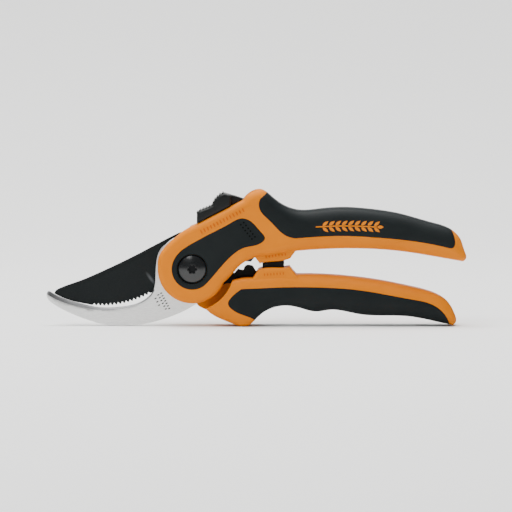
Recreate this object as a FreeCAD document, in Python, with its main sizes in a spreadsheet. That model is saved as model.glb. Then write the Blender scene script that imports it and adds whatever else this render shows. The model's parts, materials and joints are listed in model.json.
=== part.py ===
"""Bypass pruning shears, closed and locked: two handles, two blades, a thumb lock and a return spring.

X runs from the blades (-X) to the handles (+X), Y is the thickness (the bolt head faces -Y), Z is up.
Outlines are drawn about the pivot: across, up. Each body is then placed so that the shears stand on
their lower edge with their box centred on the origin.
"""
import FreeCAD
import Part
import Sketcher
import math
import os

doc = FreeCAD.newDocument("pruning_shears")

# ---------------------------------------------------------------- driving dimensions, millimetres and degrees
DIMENSIONS = {
    "pivot_across": 31.98,       # pivot, from the middle of the box towards the blades
    "pivot_height": 28.76,       # pivot, above the ground
    "half_width": 10.0,          # handles, half their thickness
    "head_back": 3.3,            # the heads' inner faces, from the blades' shared plane
    "head_radius": 17.2,         # round head about the pivot
    "shelf_radius": 17.0,        # inner edge of the web over the blade's hub
    "clear_radius": 20.75,       # space that each handle leaves round the other's head
    "hook_sweep": 24.2,          # groove that the hook's heel turns through
    "plate": 3.1,                # thickness of each blade
    "rub_gap": 0.05,             # half the gap between the blades
    "inlay_depth": 1.6,
    "core_half_width": 6.2,      # the frame's core inside the soft grip
    "bolt_radius": 4.0,
    "bush_radius": 5.5,
    "turn_gap": 0.05,            # radial running clearance on the bush
    "bolt_head_radius": 7.2,
    "bolt_recess_radius": 7.6,
    "bolt_head_depth": 2.6,
    "socket_radius": 2.35,
    "socket_depth": 1.9,
    "nut_radius": 7.0,
    "nut_height": 3.6,
    "washer_thick": 0.7,
    "spring_across": 40.6,       # spring axis, from the pivot
    "spring_radius": 3.1,        # middle of the wire
    "wire_radius": 0.55,
    "spring_pocket": 4.1,
    "spring_top": 13.6,
    "spring_bottom": -9.6,
    "spring_turns": 8.0,
    "seat_plate": 0.8,           # cups that the spring bears on
    "lock_slope": 27.6,          # degrees, the line that the lock slides along
    "slider_half_width": 8.6,
    "tail_half_width": 4.1,
    "lock_gap": 0.3,
    "bar_front": 0.4,            # the lock bar's front face and thickness
    "bar_thick": 2.2,
    "pin_radius": 1.5,
    "rivet_radius": 0.8,
    "rivet_half": 2.0,
    "bumper_half_width": 5.5,
    "tooth_pitch": 2.0,
    "tooth_depth": 1.1,
}

sheet = doc.addObject("Spreadsheet::Sheet", "dims")
for row, (alias, value) in enumerate(DIMENSIONS.items(), start=1):
    sheet.set("A%d" % row, alias)
    sheet.set("B%d" % row, str(value))
    sheet.setAlias("B%d" % row, alias)
doc.recompute()

size = DIMENSIONS
finished = []


# ---------------------------------------------------------------- helpers
def point(place):
    return FreeCAD.Vector(place[0], place[1], 0)


def polar(radius, degrees):
    """Point at a radius and an angle about the pivot."""
    angle = math.radians(degrees)
    return (radius * math.cos(angle), radius * math.sin(angle))


def new_body(label):
    """A body whose own origin is the pivot."""
    body = doc.addObject("PartDesign::Body", label)
    body.Label = label
    body.setExpression("Placement.Base.x", "-dims.pivot_across")
    body.setExpression("Placement.Base.z", "dims.pivot_height")
    return body


def side_sketch(body, name, plane_y):
    """A sketch seen from the front, at the given Y."""
    sketch = body.newObject("Sketcher::SketchObject", name)
    side = [item for item in body.Origin.OriginFeatures if item.Role == "XZ_Plane"][0]
    sketch.AttachmentSupport = [(side, "")]
    sketch.MapMode = "FlatFace"
    sketch.setExpression("AttachmentOffset.Base.z", "-(" + plane_y + ")")
    return sketch


def draw(sketch, start, steps):
    """Closed outline. A step is a point (line), a list of points (smooth curve) or (middle, end) (arc)."""
    here = point(start)
    for step in steps:
        if isinstance(step, list):
            curve = Part.BSplineCurve()
            curve.interpolate([here] + [point(place) for place in step])
            sketch.addGeometry(curve)
            here = point(step[-1])
        elif isinstance(step[0], tuple):
            sketch.addGeometry(Part.Arc(here, point(step[0]), point(step[1])))
            here = point(step[1])
        else:
            sketch.addGeometry(Part.LineSegment(here, point(step)))
            here = point(step)


def circle(sketch, radius_name, centre=(0, 0)):
    """A circle whose radius comes from the spreadsheet."""
    index = sketch.addGeometry(Part.Circle(point(centre), FreeCAD.Vector(0, 0, 1), size[radius_name]))
    constraint = sketch.addConstraint(Sketcher.Constraint("Radius", index, size[radius_name]))
    sketch.setExpression("Constraints[%d]" % constraint, "dims." + radius_name)


def pad(body, name, back, length, shape):
    """Adds material from Y = back towards the front. shape(sketch) draws the outline."""
    sketch = side_sketch(body, name + "_sketch", back)
    shape(sketch)
    feature = body.newObject("PartDesign::Pad", name)
    feature.Profile = sketch
    feature.setExpression("Length", length)
    body.Tip = feature
    doc.recompute()
    return feature


def pocket(body, name, front, length, shape):
    """Removes material from Y = front towards the back."""
    before = body.Shape.Volume
    sketch = side_sketch(body, name + "_sketch", front)
    shape(sketch)
    feature = body.newObject("PartDesign::Pocket", name)
    feature.Profile = sketch
    feature.setExpression("Length", length)
    body.Tip = feature
    doc.recompute()
    if not body.Shape.Volume < before:
        raise RuntimeError(name + " removed nothing")
    return feature


def combine(kind, label, base, tool):
    """A Part boolean of two objects."""
    result = doc.addObject("Part::" + kind, label)
    result.Label = label
    result.Base = base
    result.Tool = tool
    doc.recompute()
    return result


def finish(item):
    """Marks an object as a finished piece."""
    finished.append(item)
    return item


# ---------------------------------------------------------------- outlines about the pivot
SLOPE = math.radians(size["lock_slope"])
ALONG = (math.cos(SLOPE), math.sin(SLOPE))
SEAT_START = (1.2, 21.75)
UPPER_PINS = [(50.5, 19.3), (57.5, 19.3)]
LOWER_PINS = [(48.5, -13.5), (54.5, -13.5)]
LOCK_RIVETS = [(13.3, 30.7), (15.6, 32.0)]
EDGE_HEEL = (-20.8, -12.4)
EDGE_MIDDLE = (-37.5, -18.2)
EDGE_TOE = (-50.2, -18.5)


def upper_outline(sketch):
    """Round head, lock seat, thumb peak, long curved handle and spring boss."""
    start = polar(size["head_radius"], -22.6)
    draw(sketch, start, [
        (polar(size["head_radius"], -110), polar(size["head_radius"], 175)),
        [(-16.2, 7.0), (-13.6, 10.8), (-8.8, 15.4), (-3.8, 19.3), SEAT_START],
        (25.2, 34.3),
        [(27.2, 36.7), (30.2, 38.7), (34.0, 39.5), (38.75, 36.7), (43.75, 32.7), (48.75, 30.2),
         (54.0, 29.1), (64.0, 29.8), (76.0, 30.5), (89.0, 29.6), (104.0, 27.2), (119.0, 23.0),
         (129.6, 19.2), (133.6, 15.2), (135.8, 9.0), (136.75, 5.6), (135.0, 3.6)],
        [(119.0, 6.4), (104.0, 8.7), (89.0, 9.9), (76.0, 10.1), (64.0, 9.7), (51.5, 8.9)],
        (49.0, 5.4),
        [(46.5, 4.4), (41.0, 3.7), (33.6, 2.7)],
        (31.4, 5.7),
        [(28.75, 4.9), (23.75, 1.75), (19.0, -3.6), start],
    ])


def lower_outline(sketch):
    """Shoulder round the other head, spring boss, handle with finger waves, heel bump."""
    start = polar(size["clear_radius"], -72)
    draw(sketch, start, [
        (polar(size["clear_radius"], -45), polar(size["clear_radius"], -16)),
        [(23.75, -4.8), (30.2, -4.5)],
        (33.0, -0.3),
        [(36.0, 0.5), (41.0, 0.7), (48.6, 1.1)],
        (51.8, -2.8),
        [(64.0, -2.9), (79.0, -4.0), (94.0, -6.0), (109.0, -9.0), (121.0, -12.4),
         (127.4, -16.4), (131.0, -22.5), (131.7, -26.4), (130.0, -28.2)],
        [(121.0, -26.3), (109.0, -24.0), (94.0, -23.5), (84.0, -22.9), (75.0, -21.1), (68.75, -20.6),
         (61.75, -21.5), (54.0, -19.7), (46.0, -18.4), (38.75, -19.9), (32.0, -24.7), (28.0, -28.2),
         (24.6, -28.6), (19.0, -26.9), (11.0, -23.4), start],
    ])


def lower_head_outline(sketch):
    """The rear head: a disc with a neck that runs into the lower handle."""
    start = polar(size["head_radius"], 12)
    draw(sketch, start, [
        (polar(size["head_radius"], 165), polar(size["head_radius"], 265)),
        [(2.3, -18.3), (11.0, -23.4), (19.0, -26.9), (24.6, -28.6)],
        (34.0, -20.0),
        (34.0, -6.0),
        [(27.0, -4.7), (22.0, -5.0), (18.6, -2.0), start],
    ])


def shelf_outline(sketch):
    """Web of the lower frame that covers the blade's hub below the head."""
    start = polar(size["shelf_radius"], -84)
    draw(sketch, start, [
        [(2.4, -18.3), (6.25, -20.6), (11.0, -23.3)],
        (16.0, -20.0),
        (24.0, -9.0),
        (24.0, -5.6),
        (17.6, -4.4),
        (polar(size["shelf_radius"], -50), start),
    ])


def upper_grip_edge(sketch):
    """Everything of the upper handle that the soft grip covers."""
    draw(sketch, (37.6, 42.0), [
        [(37.0, 37.9), (33.9, 34.9), (33.4, 30.6), (38.75, 24.0), (46.0, 17.1), (51.5, 15.4)],
        [(64.0, 16.3), (76.0, 16.6), (89.0, 16.0), (104.0, 14.7), (119.0, 12.5), (127.5, 10.6)],
        [(130.4, 11.2), (130.9, 14.0), (128.0, 21.5)],
        (124.0, 42.0),
        (37.6, 42.0),
    ])


def upper_core(sketch):
    """The part of the frame that runs on inside the upper grip."""
    draw(sketch, (40.0, 10.0), [
        (40.0, 28.6),
        [(48.0, 25.2), (54.0, 24.6), (64.0, 25.6), (76.0, 26.2), (89.0, 25.4), (104.0, 23.2), (120.0, 18.4)],
        (124.0, 12.0),
        (118.0, 8.0),
        [(76.0, 11.5), (40.0, 10.0)],
    ])


def lower_grip_edge(sketch):
    """Everything of the lower handle that the soft grip covers."""
    draw(sketch, (31.4, -32.0), [
        [(31.0, -25.3), (27.5, -23.6), (20.5, -20.5), (17.9, -17.4), (20.4, -13.1), (24.5, -9.9)],
        [(34.0, -9.5), (46.0, -9.0), (64.0, -9.1), (79.0, -10.0), (94.0, -12.2), (109.0, -15.0),
         (121.0, -18.4), (125.6, -22.4), (128.4, -28.0)],
        (129.0, -32.0),
        (31.4, -32.0),
    ])


def lower_core(sketch):
    """The part of the frame that runs on inside the lower grip."""
    draw(sketch, (27.0, -7.0), [
        (27.0, -18.5),
        [(38.0, -16.6), (46.0, -15.6), (54.0, -16.6), (62.0, -17.8), (70.0, -17.2), (84.0, -19.0),
         (94.0, -19.9), (112.0, -20.8)],
        (118.0, -16.0),
        (104.0, -10.0),
        [(64.0, -5.0), (27.0, -7.0)],
    ])


def front_inlay_outline(sketch):
    """Teardrop panel round the bolt, running up towards the handle."""
    start = polar(10.2, -55)
    draw(sketch, start, [
        (polar(10.2, -130), polar(10.2, 150)),
        [(-6.3, 8.5), (1.2, 13.5), (8.75, 17.6), (18.75, 22.8), (25.2, 25.4), (29.6, 23.6), (33.75, 19.1),
         (36.2, 15.2), (34.0, 12.9), (26.25, 10.8), (18.75, 5.9), (11.25, -2.5), start],
    ])


def rear_inlay_outline(sketch):
    """Teardrop panel round the nut, running down towards the handle."""
    start = polar(10.2, 55)
    draw(sketch, start, [
        (polar(10.2, 130), polar(10.2, 225)),
        [(-2.0, -11.6), (6.0, -15.2), (13.0, -18.0), (17.4, -16.6), (20.0, -12.6), (18.0, -9.2),
         (13.0, -2.6), (9.6, 3.6), start],
    ])


def hook_outline(sketch):
    """Counter blade: beaked tip, crescent jaw, hub and tang."""
    draw(sketch, (-72.7, -12.3), [
        [(-72.7, -14.3), (-68.75, -18.4), (-61.25, -22.3), (-51.25, -26.1), (-43.75, -28.1), (-36.25, -28.7),
         (-26.25, -28.1), (-16.25, -25.9), (-6.25, -22.2), (2.2, -17.6)],
        (9.0, -12.4),
        [(14.5, -7.2), (16.3, 0.0), (20.0, 8.0), (27.0, 13.4), (35.0, 15.2)],
        (61.0, 15.2),
        (61.0, 23.4),
        (38.0, 23.4),
        [(22.0, 19.4), (8.0, 15.4), (-4.0, 16.4), (-13.7, 11.7)],
        [(-16.3, 9.0), (-17.9, 4.0), (-18.4, -4.0), (-19.6, -11.0), (-22.75, -14.8), (-28.75, -17.9),
         (-36.25, -19.25), (-46.25, -19.5), (-56.25, -17.5), (-66.25, -14.3), (-70.9, -11.7)],
        [(-72.0, -11.4), (-72.7, -12.3)],
    ])


def blade_outline(sketch):
    """Cutting blade: pointed, convex spine, hub, lock horn on the tang, and the tang in the lower handle."""
    draw(sketch, (-69.1, -12.7), [
        [(-68.3, -11.2), (-66.25, -10.0), (-56.25, -6.4), (-46.25, -2.15), (-36.25, 2.5), (-26.25, 7.5),
         (-16.25, 12.8), (-7.25, 17.4)],
        [(0.0, 18.6), (10.0, 15.6), (17.0, 7.0), (19.8, -2.2)],
        (21.0, -2.6),
        (22.8, -0.4),
        (24.2, -0.9),
        (25.7, -0.9),
        [(26.3, 0.9), (27.2, 1.5), (28.8, 1.5), (30.2, 1.0), (31.2, -0.6), (32.4, -1.8)],
        (34.0, -11.0),
        (58.0, -11.2),
        (58.0, -16.0),
        [(44.0, -15.6), (32.0, -16.6), (24.5, -11.8), (18.0, -7.6), (12.5, -10.7), (4.0, -15.8),
         (-6.0, -15.2), (-15.0, -10.2)],
        EDGE_HEEL,
        (EDGE_MIDDLE, EDGE_TOE),
        [(-58.0, -17.0), (-64.0, -15.2), (-69.1, -12.7)],
    ])


def teeth_outline(sketch):
    """Notches along the arc of the cutting edge, one for each tooth pitch."""
    edge = Part.Arc(point(EDGE_HEEL), point(EDGE_MIDDLE), point(EDGE_TOE)).toShape()
    count = int(edge.Length / size["tooth_pitch"])
    for tooth in range(count):
        along = (tooth + 0.5) * edge.Length / count
        foot = edge.valueAt(edge.getParameterByLength(along))
        side = edge.tangentAt(edge.getParameterByLength(along)) * (0.5 * size["tooth_pitch"])
        inward = FreeCAD.Vector(side.y, -side.x, 0).normalize()
        inward = inward if inward.y > 0 else -inward
        outside = foot - inward * 0.3
        apex = foot + inward * size["tooth_depth"]
        corners = [outside - side, outside + side, apex]
        for first, second in zip(corners, corners[1:] + corners[:1]):
            sketch.addGeometry(Part.LineSegment(first, second))


def slider_outline(sketch):
    """Thumb slider: low front lip, ribbed dip, high rear step."""
    lift = size["lock_gap"]
    front = (SEAT_START[0] + 1.2 - lift * ALONG[1], SEAT_START[1] + 0.63 + lift * ALONG[0])
    rear = (front[0] + 19.0 * ALONG[0], front[1] + 19.0 * ALONG[1])
    draw(sketch, front, [
        (2.3, 27.4),
        [(2.8, 28.3), (4.3, 29.2), (8.75, 31.0), (10.4, 32.0)],
        [(11.1, 34.2), (12.75, 36.0), (14.75, 37.4), (17.0, 37.3)],
        (rear[0] + 0.3, 36.7),
        rear,
        front,
    ])


def slider_tail_outline(sketch):
    """The narrow tail that slides into the notch in the peak."""
    lift = size["lock_gap"]
    front = (SEAT_START[0] + 9.0 * ALONG[0] - lift * ALONG[1], SEAT_START[1] + 9.0 * ALONG[1] + lift * ALONG[0])
    rear = (front[0] + 18.8 * ALONG[0], front[1] + 18.8 * ALONG[1])
    draw(sketch, front, [
        (front[0] + 1.0, 32.0),
        (16.0, 36.8),
        [(18.8, 36.8), (22.2, 36.0), (25.4, 34.9)],
        rear,
        front,
    ])


def tail_notch_outline(sketch):
    """Room for the tail in the peak of the upper frame."""
    start = (SEAT_START[0] + 14.0 * ALONG[0], SEAT_START[1] + 14.0 * ALONG[1])
    end = (SEAT_START[0] + 34.2 * ALONG[0], SEAT_START[1] + 34.2 * ALONG[1])
    draw(sketch, start, [
        end,
        (32.0, 42.0),
        (14.0, 42.0),
        start,
    ])


def bar_outline(sketch):
    """Lock bar from the slider down to the horn on the blade's tang."""
    draw(sketch, (11.6, 32.2), [
        (16.6, 35.0),
        (17.2, 31.6),
        (24.0, 20.0),
        (30.9, 7.6),
        (31.0, 5.3),
        (29.3, 3.2),
        (26.4, 3.3),
        (20.2, 15.2),
        (11.2, 28.4),
        (11.6, 32.2),
    ])


def bar_room_outline(sketch):
    """Room for the lock bar through its whole travel."""
    draw(sketch, (8.6, 29.0), [
        (22.4, 38.0),
        (30.6, 22.4),
        (36.7, 10.8),
        (36.7, 5.4),
        (29.6, 1.0),
        (25.2, 1.8),
        (19.4, 14.4),
        (8.6, 29.0),
    ])


# ---------------------------------------------------------------- upper body: frame, grip, inlay, hook
def spring_hole(body, name, bottom, length):
    """Round pocket for the spring, up the Z axis."""
    sketch = body.newObject("Sketcher::SketchObject", name + "_sketch")
    flat = [item for item in body.Origin.OriginFeatures if item.Role == "XY_Plane"][0]
    sketch.AttachmentSupport = [(flat, "")]
    sketch.MapMode = "FlatFace"
    sketch.setExpression("AttachmentOffset.Base.z", bottom)
    circle(sketch, "spring_pocket", (size["spring_across"], 0))
    feature = body.newObject("PartDesign::Pocket", name)
    feature.Profile = sketch
    feature.Reversed = True
    feature.setExpression("Length", length)
    before = body.Shape.Volume
    body.Tip = feature
    doc.recompute()
    if not body.Shape.Volume < before:
        raise RuntimeError(name + " removed nothing")


def make_upper_frame():
    body = new_body("upper_handle")
    pad(body, "blank", "dims.half_width", "2 * dims.half_width", upper_outline)
    pocket(body, "rear_head_room", "-dims.head_back", "dims.head_back + 2 * dims.half_width",
           lambda sketch: circle(sketch, "clear_radius"))
    pocket(body, "bolt_bore", "-2 * dims.half_width", "4 * dims.half_width",
           lambda sketch: circle(sketch, "bush_radius"))
    pocket(body, "tang_slot", "-(dims.plate + dims.rub_gap)", "dims.plate", hook_outline)
    pocket(body, "tail_notch", "-(dims.tail_half_width + dims.lock_gap)",
           "2 * (dims.tail_half_width + dims.lock_gap)", tail_notch_outline)
    pocket(body, "bar_room", "dims.bar_front - dims.lock_gap", "dims.bar_thick + 2 * dims.lock_gap",
           bar_room_outline)
    pocket(body, "inlay_seat", "-dims.half_width", "dims.inlay_depth", front_inlay_outline)
    pocket(body, "bolt_seat", "-dims.half_width", "dims.bolt_head_depth + dims.washer_thick",
           lambda sketch: circle(sketch, "bolt_recess_radius"))
    pocket(body, "pin_holes", "-dims.core_half_width", "2 * dims.core_half_width", upper_pin_places)
    spring_hole(body, "spring_pocket", "0", "dims.spring_top")
    return body


def upper_pin_places(sketch):
    for place in UPPER_PINS:
        circle(sketch, "pin_radius", place)


def lower_pin_places(sketch):
    for place in LOWER_PINS:
        circle(sketch, "pin_radius", place)


def make_grip(label, handle, edge, core):
    """The soft grip wraps the outer side of a handle round the frame's core."""
    region = new_body(label + "_region")
    pad(region, label + "_side", "2 * dims.half_width", "4 * dims.half_width", edge)
    middle = new_body(label + "_core")
    pad(middle, label + "_middle", "dims.core_half_width", "2 * dims.core_half_width", core)
    wrap = combine("Cut", label + "_wrap", region, middle)
    grip = combine("Common", label, handle, wrap)
    frame = combine("Cut", label.replace("grip", "frame"), handle, wrap)
    return grip, frame


def make_lower_handle():
    body = new_body("lower_handle")
    pad(body, "lower_blank", "dims.half_width", "2 * dims.half_width", lower_outline)
    pad(body, "rear_head", "dims.half_width", "dims.half_width - dims.head_back", lower_head_outline)
    pad(body, "shelf", "dims.head_back", "dims.head_back - dims.rub_gap", shelf_outline)
    pocket(body, "hook_groove", "-dims.head_back", "dims.head_back - dims.rub_gap + 0.3",
           lambda sketch: circle(sketch, "hook_sweep"))
    pocket(body, "lower_bore", "-2 * dims.half_width", "4 * dims.half_width", bush_hole)
    pocket(body, "lower_tang_slot", "dims.rub_gap", "dims.plate", blade_outline)
    pocket(body, "rear_inlay_seat", "dims.half_width - dims.inlay_depth", "dims.half_width",
           rear_inlay_outline)
    pocket(body, "nut_seat", "dims.half_width - dims.nut_height - dims.washer_thick",
           "dims.half_width", nut_recess)
    pocket(body, "lower_pin_holes", "-dims.core_half_width", "2 * dims.core_half_width", lower_pin_places)
    pocket(body, "bumper_seat", "-dims.bumper_half_width", "2 * dims.bumper_half_width", bumper_outline)
    spring_hole(body, "lower_spring_pocket", "dims.spring_bottom", "-dims.spring_bottom + 5")
    return body


def bush_hole(sketch):
    """Running fit on the bush."""
    index = sketch.addGeometry(Part.Circle(point((0, 0)), FreeCAD.Vector(0, 0, 1), 5.55))
    rule = sketch.addConstraint(Sketcher.Constraint("Radius", index, 5.55))
    sketch.setExpression("Constraints[%d]" % rule, "dims.bush_radius + dims.turn_gap")


def nut_recess(sketch):
    """The nut and its washer stand clear of the head that turns round them."""
    index = sketch.addGeometry(Part.Circle(point((0, 0)), FreeCAD.Vector(0, 0, 1), 8.6))
    rule = sketch.addConstraint(Sketcher.Constraint("Radius", index, 8.6))
    sketch.setExpression("Constraints[%d]" % rule, "dims.nut_radius + 1.6")


def bumper_outline(sketch):
    """Rubber stop on the lower boss, just clear of the upper boss."""
    draw(sketch, (35.0, -0.8), [
        (35.0, 2.5),
        [(41.0, 3.35), (45.8, 4.0)],
        (45.8, -0.8),
        (35.0, -0.8),
    ])


def seat_place(along, height):
    """Point over the lock's seat, by its distance along the seat and its height above it."""
    return (SEAT_START[0] + along * ALONG[0] - height * ALONG[1],
            SEAT_START[1] + along * ALONG[1] + height * ALONG[0])


def leaf_room_outline(sketch):
    """Pocket in the slider's underside for the detent leaf."""
    draw(sketch, seat_place(2.6, 0.1), [
        seat_place(2.6, 1.9),
        seat_place(12.4, 1.9),
        seat_place(12.4, 0.1),
        seat_place(2.6, 0.1),
    ])


def leaf_outline(sketch):
    """Bent leaf that gives the lock its click."""
    draw(sketch, seat_place(3.0, 0.35), [
        (seat_place(7.5, 1.5), seat_place(12.0, 0.35)),
        seat_place(12.0, 0.7),
        (seat_place(7.5, 1.85), seat_place(3.0, 0.7)),
        seat_place(3.0, 0.35),
    ])


def six_lobes(sketch):
    """Six-lobed drive socket."""
    outer = size["socket_radius"]
    inner = 0.72 * outer
    for lobe in range(6):
        start = 60 * lobe
        ends = [polar(outer * 0.9, start - 16), polar(outer * 0.9, start + 16), polar(outer * 0.9, start + 44)]
        sketch.addGeometry(Part.Arc(point(ends[0]), point(polar(outer, start)), point(ends[1])))
        sketch.addGeometry(Part.Arc(point(ends[1]), point(polar(inner, start + 30)), point(ends[2])))


def hexagon(sketch):
    """Flats of the pivot nut."""
    corners = [polar(size["nut_radius"], 60 * corner) for corner in range(7)]
    for first, second in zip(corners, corners[1:]):
        sketch.addGeometry(Part.LineSegment(point(first), point(second)))


def turned_sketch(body, name):
    """A sketch for a turned piece: across is the radius, up is the Y axis."""
    sketch = body.newObject("Sketcher::SketchObject", name)
    flat = [item for item in body.Origin.OriginFeatures if item.Role == "XY_Plane"][0]
    sketch.AttachmentSupport = [(flat, "")]
    sketch.MapMode = "FlatFace"
    return sketch


def turn(body, name, sketch):
    """Revolves a half profile about the Y axis."""
    feature = body.newObject("PartDesign::Revolution", name)
    feature.Profile = sketch
    feature.ReferenceAxis = (sketch, ["V_Axis"])
    feature.Angle = 360
    body.Tip = feature
    doc.recompute()
    return feature


def ring(label, outer, inner, back, length):
    """A plain ring about the pivot."""
    body = new_body(label)
    pad(body, label + "_disc", back, length, lambda sketch: circle(sketch, outer))
    pocket(body, label + "_hole", "-2 * dims.half_width", "4 * dims.half_width",
           lambda sketch: circle(sketch, inner))
    return body


# ---------------------------------------------------------------- plates
def make_hook_blade():
    body = new_body("hook_blade")
    pad(body, "hook_plate", "-dims.rub_gap", "dims.plate", hook_outline)
    pocket(body, "hook_bore", "-dims.half_width", "2 * dims.half_width", lambda sketch: circle(sketch, "bush_radius"))
    pocket(body, "hook_pin_holes", "-dims.half_width", "2 * dims.half_width", upper_pin_places)
    return body


def make_cutting_blade():
    body = new_body("cutting_blade")
    pad(body, "blade_plate", "dims.plate + dims.rub_gap", "dims.plate", blade_outline)
    pocket(body, "blade_bore", "-dims.half_width", "2 * dims.half_width", bush_hole)
    pocket(body, "blade_pin_holes", "-dims.half_width", "2 * dims.half_width", lower_pin_places)
    pocket(body, "teeth", "-dims.half_width", "2 * dims.half_width", teeth_outline)
    return body


# ---------------------------------------------------------------- pivot stack
def make_pivot_bolt():
    body = new_body("pivot_bolt")
    sketch = turned_sketch(body, "bolt_profile")
    front = -size["half_width"]
    under = -size["half_width"] + size["bolt_head_depth"]
    end = size["half_width"] - 0.2
    head = size["bolt_head_radius"]
    shank = size["bolt_radius"]
    draw(sketch, (0, front), [
        (0, end),
        (shank, end),
        (shank, under),
        (head, under),
        (head, front + 1.3),
        ((0.7 * head, front + 0.34), (0.35 * head, front + 0.05)),
        (0, front),
    ])
    turn(body, "turned", sketch)
    pocket(body, "drive_socket", "-dims.half_width", "dims.socket_depth", six_lobes)
    return body


def make_pivot_nut():
    body = new_body("pivot_nut")
    pad(body, "nut_block", "dims.half_width", "dims.nut_height", hexagon)
    pocket(body, "nut_thread", "-dims.half_width", "3 * dims.half_width", lambda sketch: circle(sketch, "bolt_radius"))
    return body


def make_spring_washer():
    return ring("spring_washer", "nut_radius", "bolt_radius", "dims.half_width - dims.nut_height",
                "dims.washer_thick - dims.rub_gap")


def make_bolt_washer():
    return ring("bolt_washer", "nut_radius", "bolt_radius",
                "-(dims.half_width - dims.bolt_head_depth - dims.washer_thick)", "dims.washer_thick")


def make_pivot_bush():
    back = "dims.half_width - dims.nut_height - dims.washer_thick + dims.rub_gap"
    length = back + " + dims.half_width - dims.bolt_head_depth - dims.washer_thick"
    return ring("pivot_bush", "bush_radius", "bolt_radius", back, length)


# ---------------------------------------------------------------- panels
def make_front_inlay():
    body = new_body("front_inlay")
    pad(body, "front_panel", "-(dims.half_width - dims.inlay_depth)", "dims.inlay_depth", front_inlay_outline)
    pocket(body, "front_panel_hole", "-2 * dims.half_width", "2 * dims.half_width",
           lambda sketch: circle(sketch, "bolt_recess_radius"))
    return body


def make_rear_inlay():
    body = new_body("rear_inlay")
    pad(body, "rear_panel", "dims.half_width", "dims.inlay_depth", rear_inlay_outline)
    pocket(body, "rear_panel_hole", "0", "2 * dims.half_width", nut_recess)
    return body


# ---------------------------------------------------------------- lock
def rivet_places(sketch):
    for place in LOCK_RIVETS:
        circle(sketch, "rivet_radius", place)


def make_lock_slider():
    body = new_body("lock_slider")
    pad(body, "thumb_block", "dims.slider_half_width", "2 * dims.slider_half_width", slider_outline)
    pad(body, "tail", "dims.tail_half_width", "2 * dims.tail_half_width", slider_tail_outline)
    pocket(body, "bar_socket", "dims.bar_front", "dims.bar_thick", bar_outline)
    pocket(body, "leaf_room", "-dims.slider_half_width + 1.2", "3.0", leaf_room_outline)
    pocket(body, "rivet_holes", "-dims.rivet_half", "2 * dims.rivet_half + 3", rivet_places)
    return body


def make_lock_bar():
    body = new_body("lock_bar")
    pad(body, "bar", "dims.bar_front + dims.bar_thick", "dims.bar_thick", bar_outline)
    pocket(body, "bar_rivet_holes", "-dims.half_width", "2 * dims.half_width", rivet_places)
    return body


def make_detent_spring():
    body = new_body("detent_spring")
    pad(body, "leaf", "-dims.slider_half_width + 4.0", "2.6", leaf_outline)
    return body


def pins(label, places, radius_name, front, length):
    """Identical pins along Y, joined as one node."""
    group = []
    for number, place in enumerate(places):
        pin = doc.addObject("Part::Cylinder", "%s_%d" % (label, number))
        pin.setExpression("Radius", "dims." + radius_name)
        pin.setExpression("Height", length)
        pin.Placement = FreeCAD.Placement(FreeCAD.Vector(0, 0, 0), FreeCAD.Rotation(FreeCAD.Vector(1, 0, 0), -90))
        pin.setExpression("Placement.Base.x", "-dims.pivot_across + %s" % place[0])
        pin.setExpression("Placement.Base.y", front)
        pin.setExpression("Placement.Base.z", "dims.pivot_height + %s" % place[1])
        group.append(pin)
    joined = doc.addObject("Part::Compound", label)
    joined.Label = label
    joined.Links = group
    doc.recompute()
    return joined


# ---------------------------------------------------------------- spring
def make_spring_cup(label, bottom):
    cup = doc.addObject("Part::Cylinder", label)
    cup.Label = label
    cup.setExpression("Radius", "dims.spring_pocket - dims.turn_gap")
    cup.setExpression("Height", "dims.seat_plate")
    cup.setExpression("Placement.Base.x", "dims.spring_across - dims.pivot_across")
    cup.setExpression("Placement.Base.z", "dims.pivot_height + " + bottom)
    doc.recompute()
    return cup


def make_return_spring():
    """Coil wire: a helix swept by the wire's circle."""
    length = "dims.spring_top - dims.spring_bottom - 2 * dims.seat_plate - 2 * dims.wire_radius - 0.2"
    helix = doc.addObject("Part::Helix", "spring_path")
    helix.setExpression("Radius", "dims.spring_radius")
    helix.setExpression("Height", length)
    helix.setExpression("Pitch", "(" + length + ") / dims.spring_turns")
    wire = doc.addObject("Part::Circle", "spring_wire")
    wire.setExpression("Radius", "dims.wire_radius")
    wire.Placement = FreeCAD.Placement(FreeCAD.Vector(0, 0, 0), FreeCAD.Rotation(FreeCAD.Vector(1, 0, 0), 90))
    wire.setExpression("Placement.Base.x", "dims.spring_radius")
    doc.recompute()
    coil = doc.addObject("Part::Sweep", "return_spring")
    coil.Label = "return_spring"
    coil.Sections = [wire]
    coil.Spine = (helix, ["Edge%d" % (number + 1) for number in range(len(helix.Shape.Edges))])
    coil.Solid = True
    coil.Frenet = True
    coil.setExpression("Placement.Base.x", "dims.spring_across - dims.pivot_across")
    base = "dims.pivot_height + dims.spring_bottom + dims.seat_plate + dims.wire_radius + 0.1"
    coil.setExpression("Placement.Base.z", base)
    doc.recompute()
    return coil


def make_bumper():
    body = new_body("bumper")
    pad(body, "bumper_block", "dims.bumper_half_width", "2 * dims.bumper_half_width", bumper_outline)
    spring_hole(body, "bumper_hole", "-5", "20")
    return body


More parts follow.
